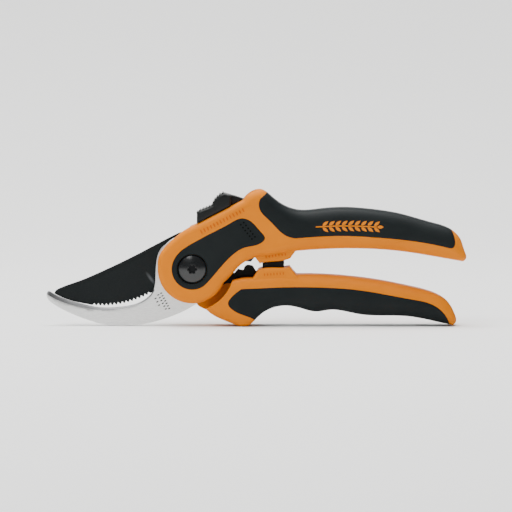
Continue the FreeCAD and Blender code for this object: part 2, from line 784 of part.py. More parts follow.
# ---------------------------------------------------------------- assembly
upper_handle = make_upper_frame()
lower_handle = make_lower_handle()
for label, handle, edge, core in (
        ("upper_grip", upper_handle, upper_grip_edge, upper_core),
        ("lower_grip", lower_handle, lower_grip_edge, lower_core)):
    grip, frame = make_grip(label, handle, edge, core)
    finish(grip)
    finish(frame)
finish(make_hook_blade())
finish(make_cutting_blade())
finish(make_pivot_bolt())
finish(make_bolt_washer())
finish(make_pivot_bush())
finish(make_spring_washer())
finish(make_pivot_nut())
finish(make_front_inlay())
finish(make_rear_inlay())
finish(pins("upper_tang_pins", UPPER_PINS, "pin_radius", "-dims.core_half_width", "2 * dims.core_half_width"))
finish(pins("lower_tang_pins", LOWER_PINS, "pin_radius", "-dims.core_half_width", "2 * dims.core_half_width"))
finish(make_lock_slider())
finish(make_lock_bar())
finish(pins("lock_rivets", LOCK_RIVETS, "rivet_radius", "-dims.rivet_half", "2 * dims.rivet_half + 3"))
finish(make_detent_spring())
finish(make_spring_cup("upper_spring_cup", "dims.spring_top - dims.seat_plate"))
finish(make_spring_cup("lower_spring_cup", "dims.spring_bottom"))
finish(make_return_spring())
finish(make_bumper())

# ---------------------------------------------------------------- checks and export
doc.recompute()
for item in doc.Objects:
    if "Invalid" in item.State or "Error" in item.State:
        raise RuntimeError(item.Label + " is " + str(item.State))
os.makedirs("parts", exist_ok=True)
for item in finished:
    if item.Shape.isNull() or not item.Shape.isValid():
        raise RuntimeError(item.Label + " has no valid shape")
    item.Shape.exportStep("parts/" + item.Label + ".step")
    print(item.Label, len(item.Shape.Solids), round(item.Shape.Volume, 1), item.Shape.BoundBox)
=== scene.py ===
# %% [markdown]
# # Pruning shears
#
# The CAD model fixes every size, place and hinge. This notebook gives it its looks: rounded mouldings,
# ground steel, soft grips and the small marks a maker leaves. Every shell below is cut from the CAD
# nodes themselves, so nothing is fitted afterwards.

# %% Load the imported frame
import bmesh
import bpy
import json
import math
import numpy as np
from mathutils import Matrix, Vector
from mathutils.geometry import delaunay_2d_cdt


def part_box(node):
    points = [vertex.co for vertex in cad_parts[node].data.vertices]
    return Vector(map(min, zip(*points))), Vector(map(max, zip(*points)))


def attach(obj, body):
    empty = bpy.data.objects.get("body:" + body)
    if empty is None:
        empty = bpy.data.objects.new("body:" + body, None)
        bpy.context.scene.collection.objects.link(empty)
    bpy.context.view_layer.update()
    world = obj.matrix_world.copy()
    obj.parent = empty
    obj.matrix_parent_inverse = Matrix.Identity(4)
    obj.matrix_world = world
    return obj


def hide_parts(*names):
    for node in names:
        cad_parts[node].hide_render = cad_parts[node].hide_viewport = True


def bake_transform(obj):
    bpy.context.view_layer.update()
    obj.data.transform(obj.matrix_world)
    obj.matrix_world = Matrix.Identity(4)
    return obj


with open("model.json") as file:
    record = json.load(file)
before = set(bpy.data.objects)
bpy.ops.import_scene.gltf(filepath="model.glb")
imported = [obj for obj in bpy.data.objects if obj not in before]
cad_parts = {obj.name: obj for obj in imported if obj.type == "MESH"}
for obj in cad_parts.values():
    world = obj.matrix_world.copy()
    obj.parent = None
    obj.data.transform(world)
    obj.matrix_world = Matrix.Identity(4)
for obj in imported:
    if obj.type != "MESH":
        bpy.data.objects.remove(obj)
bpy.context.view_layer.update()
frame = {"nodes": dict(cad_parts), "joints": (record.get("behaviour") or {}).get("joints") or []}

joints = {joint["name"]: joint for joint in frame["joints"]}
PIVOT = np.array(joints["pivot"]["pos_m"])
print("nodes:", len(frame["nodes"]), "pivot at", PIVOT)

# %% [markdown]
# ## Sizes worked out from the frame
#
# Millimetres are easier to read for outlines, so the two-dimensional work is in millimetres about the
# pivot: `u` runs towards the handles and `w` runs up. Depth stays the row's Y.

# %% Driving sizes
MM = 0.001


def box_mm(node):
    """Lowest and highest corner of a CAD node, in millimetres, with u and w about the pivot."""
    low, high = (np.array(corner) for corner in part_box(node))
    return (low - PIVOT * [1, 0, 1]) / MM, (high - PIVOT * [1, 0, 1]) / MM


HALF = box_mm("upper_frame")[1][1]
HOOK_FRONT = box_mm("hook_blade")[0][1]
HOOK_BACK = box_mm("hook_blade")[1][1]
BLADE_FRONT = box_mm("cutting_blade")[0][1]
BLADE_BACK = box_mm("cutting_blade")[1][1]
BOLT_RADIUS = box_mm("pivot_bolt")[1][0]
HEAD_FACE = HOOK_FRONT - 0.15  # the heads' inner faces
HOOK_GROOVE_BACK = 0.25  # back of the room that the lower head leaves the hook
BAR_ROOM = (0.1, 2.9)  # front and back of the lock bar's room in the upper frame
SPRING_SIDE = box_mm("return_spring")[1][1] + 0.05  # just beside the coil
CLEAR_RADIUS = 20.75  # space that each handle leaves round the other's head
LIP = 4.4  # a handle's rounded faces start this far from its middle plane
RELIEF = 0.25  # the handles' faces lie this far under the CAD faces, which leaves room for raised marks
PROUD = 0.12  # the soft grips stand this far over the frame
print("half width", round(HALF, 2), "bolt head", round(BOLT_RADIUS, 2))

# %% [markdown]
# ## Cutting outlines from the CAD nodes
#
# A moulding, a blade and a rubber panel all start from a flat outline. A plane through the CAD node
# gives that outline exactly: each triangle that the plane crosses leaves one short line, and the lines
# join into closed loops. Long straight stretches are then divided so that a rounded edge can follow.


# %% Section of a CAD node
def section(node, depth):
    """Closed loops (u, w) where the plane Y = depth, in millimetres, cuts a CAD node."""
    mesh = frame["nodes"][node].data
    mesh.calc_loop_triangles()
    points = np.array([vertex.co for vertex in mesh.vertices]).reshape(-1, 3)
    points = (points - PIVOT * [1, 0, 1]) / MM
    corners = points[np.array([triangle.vertices for triangle in mesh.loop_triangles])]
    side = corners[:, :, 1] - depth
    links = {}
    for triangle, height in zip(corners, side):
        above = height > 0
        if above.all() or not above.any():
            continue
        ends = []
        for first, second in ((0, 1), (1, 2), (2, 0)):
            if above[first] != above[second]:
                part = height[first] / (height[first] - height[second])
                place = triangle[first] + part * (triangle[second] - triangle[first])
                ends.append((round(place[0], 4), round(place[2], 4)))
        if ends[0] != ends[1]:
            links.setdefault(ends[0], []).append(ends[1])
            links.setdefault(ends[1], []).append(ends[0])
    loops = []
    while links:
        here = next(iter(links))
        loop = [here]
        while True:
            onward = links.get(here)
            if not onward:
                break
            after = onward.pop()
            links[after].remove(here)
            if not onward:
                del links[here]
            if not links[after]:
                del links[after]
            here = after
            if here == loop[0]:
                break
            loop.append(here)
        if len(loop) > 2:
            loops.append(np.array(loop))
    return loops


def spaced(loop, step):
    """The loop with no point nearer than a fifth of the step to the last, and long sides divided."""
    kept = [loop[0]]
    for place in loop[1:]:
        if np.linalg.norm(place - kept[-1]) > step * 0.2:
            kept.append(place)
    if np.linalg.norm(kept[-1] - kept[0]) < step * 0.2:
        kept.pop()
    result = []
    for place, after in zip(kept, kept[1:] + kept[:1]):
        parts = max(1, int(math.ceil(np.linalg.norm(after - place) / step)))
        for part in range(parts):
            result.append(place + (after - place) * part / parts)
    return np.array(result)


def sides(loops):
    """Start and end points of every side of the loops."""
    starts = np.vstack(loops)
    ends = np.vstack([np.roll(loop, -1, axis=0) for loop in loops])
    return starts, ends


def distance(points, starts, ends):
    """Distance from each point to the nearest side."""
    nearest = np.full(len(points), 1e9)
    for low in range(0, len(points), 2000):
        chunk = points[low:low + 2000, None, :]
        along = ends - starts
        part = ((chunk - starts) * along).sum(2) / np.maximum((along ** 2).sum(1), 1e-12)
        foot = starts + np.clip(part, 0, 1)[:, :, None] * along
        nearest[low:low + 2000] = np.sqrt(((chunk - foot) ** 2).sum(2)).min(1)
    return nearest


def inside(points, loops):
    """True for the points within the loops, holes left out."""
    odd = np.zeros(len(points), bool)
    for loop in loops:
        ends = np.roll(loop, -1, axis=0)
        for low in range(0, len(points), 4000):
            x = points[low:low + 4000, 0][:, None]
            y = points[low:low + 4000, 1][:, None]
            crosses = (loop[:, 1] > y) != (ends[:, 1] > y)
            rise = np.where(ends[:, 1] == loop[:, 1], 1e-12, ends[:, 1] - loop[:, 1])
            at = loop[:, 0] + (y - loop[:, 1]) * (ends[:, 0] - loop[:, 0]) / rise
            odd[low:low + 4000] ^= ((crosses & (x < at)).sum(1) % 2).astype(bool)
    return odd


print("hook outline points:", len(section("hook_blade", -1.6)[0]))

# %% [markdown]
# ## A shell from an outline
#
# `shell_data` fills an outline with a fine triangle net, denser in rings along its edge, and lifts the front
# and back by two functions of the place. Fillets, crowned faces, ground bevels and raised marks are all
# such functions, so one builder makes every flat piece, and its rounded edges are true curves.


# %% Shell builder
def net(loops, rings, spacing, guides=None):
    """Points on and inside the loops, with rings along the edge and guide points along any crease."""
    starts, ends = sides(loops)
    points = [np.vstack(loops)]
    for loop in loops:
        ahead = np.roll(loop, -1, axis=0) - np.roll(loop, 1, axis=0)
        normal = np.stack([-ahead[:, 1], ahead[:, 0]], 1)
        normal /= np.maximum(np.linalg.norm(normal, axis=1), 1e-9)[:, None]
        probe = loop + normal * 0.02
        normal[~inside(probe, loops)] *= -1
        for ring in rings:
            every = 1 if ring < 1.5 else 2
            offset = (loop + normal * ring)[::every]
            near = distance(offset, starts, ends)
            offset = offset[near > ring * 0.97]
            points.append(offset[inside(offset, loops)])
    low = np.vstack(loops).min(0)
    high = np.vstack(loops).max(0)
    across, up = np.meshgrid(np.arange(low[0], high[0], spacing), np.arange(low[1], high[1], spacing * 0.866))
    across = across + (np.arange(across.shape[0]) % 2)[:, None] * spacing / 2
    grid = np.stack([across.ravel(), up.ravel()], 1)
    grid = grid[inside(grid, loops)]
    margin = (max(rings) if rings else 0) + spacing * 0.5
    grid = grid[distance(grid, starts, ends) > margin]
    points.append(grid)
    if guides is not None:
        kept = guides[inside(guides, loops)]
        points.append(kept[distance(kept, starts, ends) > 0.06])
    return np.vstack(points)


def triangulate(loops, points):
    """Triangles of the net inside the loops."""
    edges = []
    base = 0
    for loop in loops:
        count = len(loop)
        edges += [(base + number, base + (number + 1) % count) for number in range(count)]
        base += count
    out = delaunay_2d_cdt([Vector(place) for place in points], edges, [], 0, 1e-5)
    flat = np.array([vertex[:] for vertex in out[0]])
    triangles = np.array(out[2])
    middle = flat[triangles].mean(1)
    triangles = triangles[inside(middle, loops)]
    a, b, c = (flat[triangles[:, corner]] for corner in range(3))
    area = (b[:, 0] - a[:, 0]) * (c[:, 1] - a[:, 1]) - (b[:, 1] - a[:, 1]) * (c[:, 0] - a[:, 0])
    triangles[area < 0] = triangles[area < 0][:, ::-1]
    return flat, triangles[np.abs(area) > 1e-9]


def shell_data(loops, front, back, rings=(), spacing=2.0, step=0.6, guides=None):
    """Vertices (row frame, metres) and faces of a closed shell between two depth functions."""
    loops = [spaced(loop, step) for loop in loops]
    flat, triangles = triangulate(loops, net(loops, rings, spacing, guides))
    used = np.unique(triangles)
    renumber = np.full(len(flat), -1)
    renumber[used] = np.arange(len(used))
    flat, triangles = flat[used], renumber[triangles]
    count = len(flat)
    near = front(flat)
    far = back(flat)
    place = np.zeros((2 * count, 3))
    place[:, 0] = np.tile(flat[:, 0], 2)
    place[:, 2] = np.tile(flat[:, 1], 2)
    place[:, 1] = np.concatenate([near, far])
    faces = [tuple(triangle) for triangle in triangles]
    faces += [tuple(triangle[::-1] + count) for triangle in triangles]
    seen = {}
    for a, b, c in triangles:
        for edge in ((a, b), (b, c), (c, a)):
            seen[edge] = True
    for a, b in seen:
        if (b, a) not in seen:
            faces.append((b, a, a + count, b + count))
    return place * MM + PIVOT * [1, 0, 1], faces


def make_object(name, shells, sharp=50):
    """One mesh object from several shells, smooth except at edges sharper than the angle."""
    places, faces, base = [], [], 0
    for place, shell_faces in shells:
        places.append(place)
        faces += [tuple(int(corner) + base for corner in face) for face in shell_faces]
        base += len(place)
    mesh = bpy.data.meshes.new(name)
    mesh.from_pydata([tuple(place) for place in np.vstack(places)], [], faces)
    piece = bpy.data.objects.new(name, mesh)
    bpy.context.scene.collection.objects.link(piece)
    tidy(piece, sharp)
    return piece


def tidy(piece, sharp=50):
    """Turns the faces outwards and marks the sharp edges."""
    work = bmesh.new()
    work.from_mesh(piece.data)
    bmesh.ops.recalc_face_normals(work, faces=work.faces)
    limit = math.radians(sharp)
    for face in work.faces:
        face.smooth = True
    for edge in work.edges:
        edge.smooth = edge.is_manifold and edge.calc_face_angle(0) < limit
    work.to_mesh(piece.data)
    work.free()


def place_piece(piece, body, slot, material, *nodes):
    """Material, body and the CAD nodes that a finished piece stands for; the slot argument is not used."""
    piece.data.materials.clear()
    piece.data.materials.append(material)
    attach(piece, body)
    if nodes:
        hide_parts(*nodes)
    return piece

# %% [markdown]
# ## Materials
#
# Real moulded nylon, rubber and ground steel all show a fine grain, and each one differs: the nylon is
# spark-eroded and softly glossy, the rubber is duller, the steel carries grinding lines along the blade.
# One shared group gives an even grain, and each material takes its colour shift, gloss and bump from it.


# %% Shader helpers
def grain_group():
    """Even fine grain with slower clouds: outputs a height and a mask."""
    group = bpy.data.node_groups.new("fine_grain", "ShaderNodeTree")
    group.interface.new_socket("Vector", in_out="INPUT", socket_type="NodeSocketVector")
    size_in = group.interface.new_socket("Grain", in_out="INPUT", socket_type="NodeSocketFloat")
    size_in.default_value = 1500.0
    group.interface.new_socket("Height", in_out="OUTPUT", socket_type="NodeSocketFloat")
    group.interface.new_socket("Clouds", in_out="OUTPUT", socket_type="NodeSocketFloat")
    nodes, links = group.nodes, group.links
    entry = nodes.new("NodeGroupInput")
    leave = nodes.new("NodeGroupOutput")
    fine = nodes.new("ShaderNodeTexNoise")
    fine.inputs["Detail"].default_value = 3.0
    fine.inputs["Roughness"].default_value = 0.6
    slow = nodes.new("ShaderNodeTexNoise")
    slow.inputs["Scale"].default_value = 70.0
    slow.inputs["Detail"].default_value = 4.0
    links.new(entry.outputs["Vector"], fine.inputs["Vector"])
    links.new(entry.outputs["Vector"], slow.inputs["Vector"])
    links.new(entry.outputs["Grain"], fine.inputs["Scale"])
    links.new(fine.outputs["Fac"], leave.inputs["Height"])
    links.new(slow.outputs["Fac"], leave.inputs["Clouds"])
    return group


GRAIN = grain_group()


def new_material(name, stretch=(1, 1, 1)):
    """A Principled material with Object coordinates, stretched along the axes."""
    material = bpy.data.materials.new(name)
    material.use_nodes = True
    tree = material.node_tree
    tree.nodes.clear()
    out = tree.nodes.new("ShaderNodeOutputMaterial")
    shader = tree.nodes.new("ShaderNodeBsdfPrincipled")
    place = tree.nodes.new("ShaderNodeTexCoord")
    mapping = tree.nodes.new("ShaderNodeMapping")
    mapping.inputs["Scale"].default_value = stretch
    tree.links.new(place.outputs["Object"], mapping.inputs["Vector"])
    tree.links.new(shader.outputs["BSDF"], out.inputs["Surface"])
    return material, tree, shader, mapping


def ramp_between(tree, source, low, high, start=0.3, end=0.7):
    """A value from low to high as the source goes from start to end."""
    remap = tree.nodes.new("ShaderNodeMapRange")
    remap.inputs["From Min"].default_value = start
    remap.inputs["From Max"].default_value = end
    remap.inputs["To Min"].default_value = low
    remap.inputs["To Max"].default_value = high
    tree.links.new(source, remap.inputs["Value"])
    return remap.outputs["Result"]


def tint(tree, source, first, second, start=0.3, end=0.7):
    """A colour from first to second as the source goes from start to end."""
    ramp = tree.nodes.new("ShaderNodeValToRGB")
    ramp.color_ramp.elements[0].position = start
    ramp.color_ramp.elements[1].position = end
    ramp.color_ramp.elements[0].color = (*first, 1)
    ramp.color_ramp.elements[1].color = (*second, 1)
    tree.links.new(source, ramp.inputs["Fac"])
    return ramp.outputs["Color"]


def bump(tree, shader, height, strength, depth):
    """Raises the surface by a height signal, depth in metres."""
    node = tree.nodes.new("ShaderNodeBump")
    node.inputs["Strength"].default_value = strength
    node.inputs["Distance"].default_value = depth
    tree.links.new(height, node.inputs["Height"])
    tree.links.new(node.outputs["Normal"], shader.inputs["Normal"])


MOULD_DEPTH = 0.00008  # height of a moulded grain, in metres
GROUND_DEPTH = 0.00004  # and of grinding marks


def grained(name, dark, light, rough, grain, relief, depth, shine, stretch=(1, 1, 1), source="Clouds"):
    """A material whose colour, gloss and bump all follow the shared grain."""
    material, tree, shader, mapping = new_material(name, stretch)
    group = tree.nodes.new("ShaderNodeGroup")
    group.node_tree = GRAIN
    group.inputs["Grain"].default_value = grain
    tree.links.new(mapping.outputs["Vector"], group.inputs["Vector"])
    tree.links.new(tint(tree, group.outputs[source], dark, light), shader.inputs["Base Color"])
    gloss = ramp_between(tree, group.outputs[source], rough[0], rough[1])
    tree.links.new(gloss, shader.inputs["Roughness"])
    bump(tree, shader, group.outputs["Height"], relief, depth)
    shader.inputs["Specular IOR Level"].default_value = shine
    return material, shader


def moulded(name, dark, light, rough, grain=2200.0, relief=0.35, shine=0.1):
    """A moulded plastic or rubber with an eroded grain."""
    return grained(name, dark, light, rough, grain, relief, MOULD_DEPTH, shine)[0]


def metal(name, dark, light, rough, stretch, relief=0.2, metallic=1.0, grain=900.0, shine=0.5):
    """A ground or coated metal: its grain is drawn out along the grinding direction."""
    material, shader = grained(name, dark, light, rough, grain, relief, GROUND_DEPTH, shine, stretch,
                               "Height")
    shader.inputs["Metallic"].default_value = metallic
    return material


# %% The materials
ORANGE = moulded("orange_nylon", (0.575, 0.158, 0.0), (0.625, 0.176, 0.0003), (0.40, 0.48), shine=0.07)
# Painted shade: a darker copy of the orange nylon for the moulded bars, in place of the shade round fine
# lettering.
SHADED_MARK = moulded("orange_marks_painted_shade", (0.46, 0.085, 0.0), (0.50, 0.095, 0.0), (0.42, 0.50), shine=0.05)
GRIP = moulded("soft_grip_rubber", (0.006, 0.0085, 0.009), (0.009, 0.0115, 0.012), (0.46, 0.56), 3000.0, 0.5)
PANEL = moulded("panel_rubber", (0.006, 0.0085, 0.009), (0.009, 0.0115, 0.012), (0.44, 0.54), 3000.0, 0.4)
BLACK = moulded("black_nylon", (0.005, 0.006, 0.006), (0.009, 0.010, 0.010), (0.34, 0.42), shine=0.16)
BUMPER = moulded("bumper_rubber", (0.006, 0.006, 0.006), (0.010, 0.010, 0.010), (0.6, 0.7))
STEEL = metal("ground_steel", (0.64, 0.64, 0.635), (0.83, 0.83, 0.82), (0.30, 0.40), (0.5, 4, 7), 0.25)
# Painted shade: the hook's bevel is the same ground steel, darkened to show how its slope catches the light;
# its grind direction is real.
BEVEL_SHADE = metal("bevel_steel_painted_shade", (0.14, 0.142, 0.145), (0.19, 0.193, 0.195), (0.32, 0.42), (5, 4, 0.6), 0.3)
ETCH = metal("etched_steel", (0.05, 0.05, 0.05), (0.08, 0.08, 0.08), (0.5, 0.6), (1, 1, 1), 0.2)
COATING = metal("coated_steel", (0.006, 0.008, 0.0085), (0.010, 0.012, 0.0125), (0.44, 0.54), (1, 1, 2),
                0.3, 0.0, shine=0.1)
OXIDE = metal("black_oxide", (0.006, 0.007, 0.0075), (0.008, 0.009, 0.0095), (0.20, 0.22), (1, 1, 1),
              0.02, 0.0, grain=300.0, shine=0.5)
# Painted shade: the inside of the bolt's drive takes this duller copy of the black oxide, toned for the shade
# in the hole.
SOCKET_SHADE = moulded("socket_painted_shade", (0.010, 0.011, 0.012), (0.014, 0.015, 0.016), (0.45, 0.55), shine=0.08)
# Painted shade: a darker copy of the panel rubber for the pips, in place of the shade round moulded
# lettering.
PIP_SHADE = moulded("panel_marks_painted_shade", (0.0015, 0.002, 0.002), (0.0025, 0.003, 0.003), (0.6, 0.7), shine=0.03)
PLAIN = metal("plain_steel", (0.48, 0.48, 0.48), (0.6, 0.6, 0.6), (0.28, 0.4), (1, 3, 1), 0.2)
WIRE = metal("spring_wire", (0.20, 0.20, 0.21), (0.30, 0.30, 0.31), (0.25, 0.35), (1, 1, 1), 0.2)
BRONZE = metal("sintered_bronze", (0.40, 0.25, 0.10), (0.50, 0.32, 0.14), (0.4, 0.5), (1, 1, 1), 0.3)
print("materials:", len(bpy.data.materials))

# %% [markdown]
# ## Handles
#
# Each handle is one stiff nylon frame with a softer black skin moulded round its outer side. The two
# meet in a fine groove, and the rounding of the long edges runs on across it, because both are shaped by
# one mould. So the rounding is measured from the handle's own outline, and the groove from each piece's.


# %% Handle shapes
def smooth_step(value, low, high):
    part = np.clip((value - low) / (high - low), 0, 1)
    return part * part * (3 - 2 * part)


def arch(gap, width, height):
    """Depth of a rounded edge: the full height at the edge, none beyond its width."""
    part = np.clip(1 - gap / width, 0, 1)
    return height * (1 - np.sqrt(np.clip(1 - part * part, 0, 1)))


def outer_sides(nodes, depth, skip_radius):
    """Sides of a handle's own outline: those that no two of its nodes share and that aren't on the
    arc round the other head."""
    loops = {node: section(node, depth) for node in nodes}
    loops = {node: cut for node, cut in loops.items() if cut}
    starts, ends = [], []
    for node in loops:
        first, second = sides([spaced(loop, 0.8) for loop in loops[node]])
        middle = (first + second) / 2
        keep = np.abs(np.linalg.norm(middle, axis=1) - skip_radius) > 0.12
        for other in loops:
            if other != node:
                keep &= distance(middle, *sides(loops[other])) > 0.1
        starts.append(first[keep])
        ends.append(second[keep])
    return np.vstack(starts), np.vstack(ends)


ROUND_WIDTH, ROUND_HEIGHT = 2.9, 2.5  # rounding of a handle's long edges at the head
ROUND_GROWTH = 4.4  # and how much wider it is along the grip
FRONT_GROWS, REAR_GROWS = (40, 66), (22, 60)  # distances from the pivot between which it widens
BOSS_WIDTH, BOSS_HEIGHT = 1.1, 1.0  # rounding of a spring boss


def handle_drop(outline, rear, boss):
    """Function giving how far the handle's face lies below the flat at each place. The spring boss is a
    set-back block: the handle's own rounded edge runs past it along the line between its two ends."""
    starts, ends = outline
    first, second, below = np.array(boss[0]), np.array(boss[1]), boss[2]
    along = (second - first) / np.linalg.norm(second - first)
    outward = np.array([along[1], -along[0]]) * boss[3]

    def past_line(places):
        forward = (places - first) @ along
        span = np.linalg.norm(second - first)
        return np.where((forward > -0.3) & (forward < span + 0.3), (places - first) @ outward, -9.0)

    middle = (starts + ends) / 2
    on_boss = past_line(middle) > -0.05
    main_starts = np.vstack([starts[~on_boss], first[None]])
    main_ends = np.vstack([ends[~on_boss], second[None]])

    def drop(places):
        reach = np.linalg.norm(places, axis=1)
        grow = smooth_step(reach, *(REAR_GROWS if rear else FRONT_GROWS))
        width = ROUND_WIDTH + ROUND_GROWTH * grow
        height = ROUND_HEIGHT + (HALF - LIP - ROUND_HEIGHT) * grow
        low = past_line(places)
        face = arch(distance(places, main_starts, main_ends), width, height)
        face = np.minimum(face, np.where(low > -width, np.maximum(below, 0), height))
        block = below + arch(distance(places, starts, ends), BOSS_WIDTH, BOSS_HEIGHT)
        return RELIEF + np.where(low > 0, np.maximum(block, below), face)

    return drop


FINE_RINGS = (0.05, 0.12, 0.3)  # rings of the net along every edge
BROAD_RINGS = (0.8, 1.3, 2.0, 2.9, 4.0, 5.2, 6.4, 7.4)  # and across the broad rounding
GROOVE = 0.3  # rounding of a grip where it meets its frame
FRAME_EDGE = 0.05
CREASE_SHIFTS = (-2.9, -2.3, -1.7, -1.2, -0.8, -0.45, -0.2, -0.05, 0.05, 0.3)


def crease(boss):
    """Guide points on both sides of the line where a spring boss meets its handle."""
    first, second = np.array(boss[0]), np.array(boss[1])
    span = np.linalg.norm(second - first)
    along = (second - first) / span
    outward = np.array([along[1], -along[0]]) * boss[3]
    line = first + (second - first) * np.linspace(0, 1, int(span / 0.5) + 1)[:, None]
    return np.vstack([line + outward * shift for shift in CREASE_SHIFTS])


def face_layer(loops, drop, front, inner, guides):
    """The outermost layer of a moulding: rounded outside, flat inside."""
    spread = [spaced(loop, 0.6) for loop in loops]
    starts, ends = sides(spread)

    def outside(places):
        depth = drop(places) + arch(distance(places, starts, ends), FRAME_EDGE, FRAME_EDGE)
        return front * (HALF - np.minimum(depth, HALF - abs(inner) - 0.02))

    def flat(places):
        return np.full(len(places), float(inner))

    if front < 0:
        return shell_data(loops, outside, flat, FINE_RINGS + BROAD_RINGS, 2.2, guides=guides)
    return shell_data(loops, flat, outside, FINE_RINGS + BROAD_RINGS, 2.2, guides=guides)


def plain_layer(node, low, high):
    """A layer of a CAD node as it is, between two depths."""
    loops = section(node, (low + high) / 2)
    return shell_data(loops, lambda places: np.full(len(places), low),
                      lambda places: np.full(len(places), high), (), 6.0, 1.2)


def make_frame(node, nodes, levels, boss):
    """A frame: rounded layers at the front and rear, plain ones with the slots between. The layers part
    beside the spring too, so that its round pocket keeps clear of the coil."""
    shells = []
    for face in (-1, 1):
        depth = face * (HALF - 0.1)
        outline = outer_sides(nodes, depth, CLEAR_RADIUS)
        drop = handle_drop(outline, face > 0, boss)
        shells.append(face_layer(section(node, depth), drop, face, face * LIP, crease(boss)))
    for low, high in zip(levels, levels[1:]):
        shells.append(plain_layer(node, low, high))
    return make_object(node + "_moulding", shells)


def make_soft(node, nodes, boss):
    """A soft grip: both faces rounded, one shell."""
    loops = section(node, -(HALF - 0.1))
    outline = outer_sides(nodes, -(HALF - 0.1), CLEAR_RADIUS)
    drop = handle_drop(outline, False, boss)
    spread = [spaced(loop, 0.6) for loop in loops]
    starts, ends = sides(spread)

    def face(places):
        edge = arch(distance(places, starts, ends), GROOVE, GROOVE)
        return HALF - np.minimum(drop(places) - PROUD + edge, HALF - LIP)

    shell = shell_data(loops, lambda places: -face(places), face, FINE_RINGS + BROAD_RINGS, 2.2)
    return make_object(node + "_skin", [shell])


UPPER = ("upper_frame", "upper_grip", "front_inlay")
LOWER = ("lower_frame", "lower_grip", "rear_inlay")
UPPER_BOSS = ((31.4, 6.3), (51.4, 8.9), 2.3, 1)
LOWER_BOSS = ((30.4, -4.5), (51.8, -2.9), 0.7, -1)
UPPER_LEVELS = (-LIP, -SPRING_SIDE, HEAD_FACE, *BAR_ROOM, SPRING_SIDE, LIP)
LOWER_LEVELS = (-LIP, -SPRING_SIDE, HEAD_FACE, HOOK_GROOVE_BACK, BLADE_BACK, SPRING_SIDE, LIP)
upper_frame = make_frame("upper_frame", UPPER, UPPER_LEVELS, UPPER_BOSS)
place_piece(upper_frame, "upper_body", "orange_plastic", ORANGE, "upper_frame")
lower_frame = make_frame("lower_frame", LOWER, LOWER_LEVELS, LOWER_BOSS)
place_piece(lower_frame, "lower_body", "orange_plastic", ORANGE, "lower_frame")
upper_grip = make_soft("upper_grip", UPPER, UPPER_BOSS)
place_piece(upper_grip, "upper_body", "soft_grip", GRIP, "upper_grip")
lower_grip = make_soft("lower_grip", LOWER, LOWER_BOSS)
place_piece(lower_grip, "lower_body", "soft_grip", GRIP, "lower_grip")
for piece in (upper_frame, lower_frame, upper_grip, lower_grip):
    print(piece.name, len(piece.data.polygons), "faces")

# %% [markdown]
# ## Blades
#
# The hook is a thick bright plate with a ground bevel along its inner edge, which narrows towards the
# head. The cutting blade is flat on the side that slides past the hook, so its long bevel is on the far
# side, and small teeth are ground through its edge. Both keep a hair of rounding on every other edge,
# because a stamped and tumbled plate never has a true corner.


# %% Blades
def edge_between(loops, low, high, up):
    """Sides between two values of u whose outward normal points up (or down)."""
    starts, ends = sides(loops)
    along = ends - starts
    middle = (starts + ends) / 2
    normal = np.stack([-along[:, 1], along[:, 0]], 1)
    normal /= np.maximum(np.linalg.norm(normal, axis=1), 1e-9)[:, None]
    flip = inside(middle + normal * 0.01, loops)
    normal[flip] *= -1
    keep = (middle[:, 0] > low) & (middle[:, 0] < high) & (normal[:, 1] * (1 if up else -1) > 0.15)
    return starts[keep], ends[keep]


def flat_at(depth):
    return lambda places: np.full(len(places), float(depth))


HOOK_LIP = (-71.5, -19.5)  # u of the lip's ends, tip and crotch
LIP_FROM, LIP_OVER = -24, 38  # the lip widens from here, over this length
LIP_THIN, LIP_GROWTH = 0.55, 1.35
LIP_SLOPE = 0.5


def make_hook():
    loops = [spaced(loop, 0.5) for loop in section("hook_blade", (HOOK_FRONT + HOOK_BACK) / 2)]
    starts, ends = sides(loops)
    lip_starts, lip_ends = edge_between(loops, *HOOK_LIP, True)
    lip_middle = (lip_starts + lip_ends) / 2

    def lip_width(places):
        part = np.clip((LIP_FROM - places[:, 0]) / LIP_OVER, 0, 1)
        return LIP_THIN + LIP_GROWTH * part

    def front(places):
        width = lip_width(places)
        slope = np.clip(1 - distance(places, lip_starts, lip_ends) / width, 0, 1)
        return HOOK_FRONT + arch(distance(places, starts, ends), 0.3, 0.3) + slope * width * LIP_SLOPE

    def back(places):
        return HOOK_BACK - arch(distance(places, starts, ends), 0.25, 0.25)

    along = lip_ends - lip_starts
    inward = np.stack([-along[:, 1], along[:, 0]], 1) / np.linalg.norm(along, axis=1)[:, None]
    inward[~inside(lip_middle + inward * 0.05, loops)] *= -1
    width = lip_width(lip_middle)[:, None]
    guides = np.vstack([lip_middle + inward * width * part for part in (0.5, 0.97, 1.03)])
    shell = shell_data(loops, front, back, (0.1, 0.3, 0.7, 1.2), 1.6, 0.5, guides)
    piece = make_object("hook_plate", [shell], 20)
    place_piece(piece, "upper_body", "jaw_steel", STEEL, "hook_blade")
    # The bevel's faces take the darker steel: painted shade on the sloped bevel.
    piece.data.materials.append(BEVEL_SHADE)
    middles = np.array([face.center for face in piece.data.polygons])
    flat = (middles[:, [0, 2]] - PIVOT[[0, 2]]) / MM
    bevelled = distance(flat, lip_starts, lip_ends) < lip_width(flat) - 0.03
    bevelled &= middles[:, 1] / MM < HOOK_FRONT + 1.3
    for face, on_bevel in zip(piece.data.polygons, bevelled):
        face.material_index = 1 if on_bevel else 0
    return piece


TOOTHED_EDGE = (-69.5, -20.0)  # u of the cutting edge's ends
HONED_WIDTH, HONED_DEPTH = 2.4, 0.12
GROUND_WIDTH, EDGE_THICK = 8.0, 0.7


